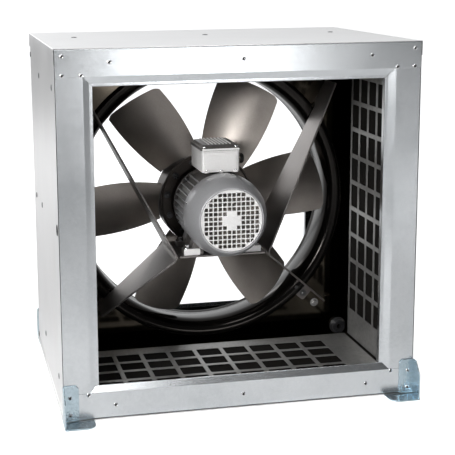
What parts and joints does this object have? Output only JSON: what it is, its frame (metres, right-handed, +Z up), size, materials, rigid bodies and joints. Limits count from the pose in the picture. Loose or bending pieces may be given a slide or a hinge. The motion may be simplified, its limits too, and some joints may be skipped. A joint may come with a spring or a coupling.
{
  "type": "inline duct fan",
  "caption": "Square cased inline duct fan: lined sheet-steel box, bellmouth ring, foot-mounted motor on folded arms, and a broad-bladed axial impeller that spins.",
  "frame": {"origin": "on the ground, under the middle of the box", "axes": "+Z up, the inlet (motor side) faces -Y, air leaves towards +Y, +X to the right seen from the inlet"},
  "size_m": [0.75, 0.629, 0.7533],
  "materials": {
    "galvanised_sheet": "galvanised, satin with spangle",
    "lining_board": "dark-faced acoustic board",
    "liner_sheet": "satin sheet steel",
    "bulkhead_steel": "dark satin",
    "rubber": "matt black",
    "ring_steel": "satin spun steel",
    "support_steel": "satin folded steel",
    "motor_paint": "dark grey paint",
    "bearing_steel": "bright steel",
    "cowl_paint": "mid-grey paint",
    "grille_paint": "light grey paint",
    "black_polymer": "matt",
    "core_steel": "laminated",
    "winding": "enamelled copper",
    "blade_alloy": "satin cast",
    "zinc": "bright zinc plate"
  },
  "bodies": {
    "casing": {"casing_top_panel": "galvanised_sheet", "casing_bottom_panel": "galvanised_sheet", "casing_left_panel": "galvanised_sheet", "casing_right_panel": "galvanised_sheet", "front_frame_top_rail": "galvanised_sheet", "front_frame_bottom_rail": "galvanised_sheet", "front_frame_left_stile": "galvanised_sheet", "front_frame_right_stile": "galvanised_sheet", "rear_frame_top_rail": "galvanised_sheet", "rear_frame_bottom_rail": "galvanised_sheet", "rear_frame_left_stile": "galvanised_sheet", "rear_frame_right_stile": "galvanised_sheet", "front_lining_bottom_board": "lining_board", "front_lining_top_board": "lining_board", "front_lining_left_board": "lining_board", "front_lining_right_board": "lining_board", "rear_lining_bottom_board": "lining_board", "rear_lining_top_board": "lining_board", "rear_lining_left_board": "lining_board", "rear_lining_right_board": "lining_board", "perforated_liner_bottom": "liner_sheet", "perforated_liner_top": "liner_sheet", "perforated_liner_left": "liner_sheet", "perforated_liner_right": "liner_sheet", "bulkhead_plate": "bulkhead_steel", "bulkhead_cable_grommet": "rubber", "bellmouth_ring": "ring_steel", "motor_cradle_plate": "support_steel", "motor_arm_right": "support_steel", "motor_arm_left": "support_steel", "motor_frame": "motor_paint", "motor_drive_end_shield": "motor_paint", "motor_fan_end_shield": "motor_paint", "terminal_box_lid": "motor_paint", "motor_bearing_drive_end": "bearing_steel", "motor_bearing_fan_end": "bearing_steel", "motor_fan_cowl": "cowl_paint", "motor_cowl_grille": "grille_paint", "terminal_box_base": "grille_paint", "terminal_box_gland": "black_polymer", "terminal_board": "black_polymer", "stator_core": "core_steel", "stator_winding": "winding", "foot_front_left": "zinc", "foot_front_right": "zinc", "foot_rear_left": "zinc", "foot_rear_right": "zinc"},
    "rotor": {"motor_shaft": "bearing_steel", "rotor_core": "core_steel", "motor_cooling_fan": "black_polymer", "impeller_hub": "blade_alloy", "impeller_clamp_disc": "bearing_steel", "impeller_blade_1": "blade_alloy", "impeller_blade_2": "blade_alloy", "impeller_blade_3": "blade_alloy", "impeller_blade_4": "blade_alloy", "impeller_blade_5": "blade_alloy", "impeller_blade_6": "blade_alloy"}
  },
  "joints": [
    {"name": "fan_spin", "type": "hinge", "parent": "casing", "child": "rotor", "pos_m": [0, 0, 0.3783], "axis": [0, 1, 0], "continuous": true}
  ]
}
